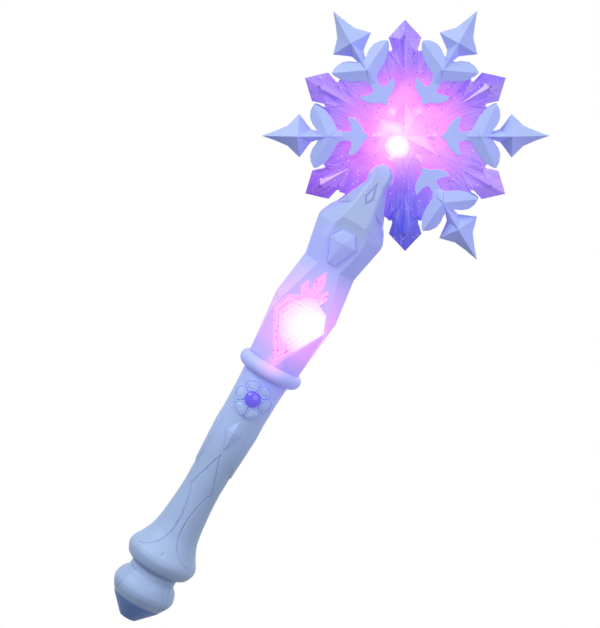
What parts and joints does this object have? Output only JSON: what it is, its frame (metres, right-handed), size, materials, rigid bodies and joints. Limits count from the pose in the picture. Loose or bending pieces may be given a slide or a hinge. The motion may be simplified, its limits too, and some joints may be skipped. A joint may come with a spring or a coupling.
{
  "type": "toy magic wand",
  "caption": "Light-up toy wand: turned grip, collar ring, faceted shaft with a kite window, flower push button and layered snowflake head.",
  "frame": {"origin": "on the wand's axis at the middle of the grip, where a hand holds it", "axes": "+Z along the wand from the pommel to the snowflake; the snowflake and the button face -Y"},
  "size_m": [0.1352, 0.0408, 0.388],
  "materials": {
    "pale_blue_plastic": "satin moulded plastic, slightly translucent near the lamps",
    "purple_clear_plastic": "clear tinted plastic with glitter flakes",
    "window_plastic": "clear tinted plastic, lit from behind",
    "black_plastic": "moulded plastic",
    "circuit_board": "solder-masked board",
    "steel": "plated steel",
    "cell_wrap": "plain shrink wrap",
    "red_lead": "wire insulation",
    "lamp_resin": "clear resin"
  },
  "bodies": {
    "wand": {"handle_front_shell": "pale_blue_plastic", "handle_rear_shell": "pale_blue_plastic", "shaft_front_shell": "pale_blue_plastic", "shaft_rear_shell": "pale_blue_plastic", "collar_ring": "pale_blue_plastic", "window_lens": "window_plastic", "flower_bezel": "pale_blue_plastic", "switch_housing": "black_plastic", "button_board": "circuit_board", "battery_1": "cell_wrap", "battery_2": "cell_wrap", "contact_spring": "steel", "spring_plate": "steel", "top_contact": "steel", "battery_lead": "red_lead", "shaft_leads": "red_lead", "shaft_led_board": "circuit_board", "shaft_led": "lamp_resin", "head_leads": "red_lead", "head_led_board": "circuit_board", "head_led": "lamp_resin", "snowflake_front_shell": "purple_clear_plastic", "snowflake_rear_shell": "purple_clear_plastic", "arm_front_1": "pale_blue_plastic", "arm_front_2": "pale_blue_plastic", "arm_front_3": "pale_blue_plastic", "arm_front_4": "pale_blue_plastic", "arm_front_5": "pale_blue_plastic", "arm_rear_1": "pale_blue_plastic", "arm_rear_2": "pale_blue_plastic", "arm_rear_3": "pale_blue_plastic", "arm_rear_4": "pale_blue_plastic", "arm_rear_5": "pale_blue_plastic", "shell_screws": "steel"},
    "button": {"button_gem": "purple_clear_plastic", "switch_plunger": "black_plastic"},
    "door": {"battery_door": "pale_blue_plastic"},
    "captive_screw": {"door_screw": "steel"}
  },
  "joints": [
    {"name": "button_press", "type": "slide", "parent": "wand", "child": "button", "axis": [0, 1, 0], "range_m": [0, 0.0012], "stiffness_N_per_m": 1200},
    {"name": "door_lift", "type": "slide", "parent": "wand", "child": "door", "axis": [0, 1, 0], "range_m": [0, 0.02]},
    {"name": "door_screw_turn", "type": "hinge", "parent": "door", "child": "captive_screw", "pos_m": [0, 0.009, 0.0367], "axis": [0, 1, 0], "continuous": true}
  ]
}
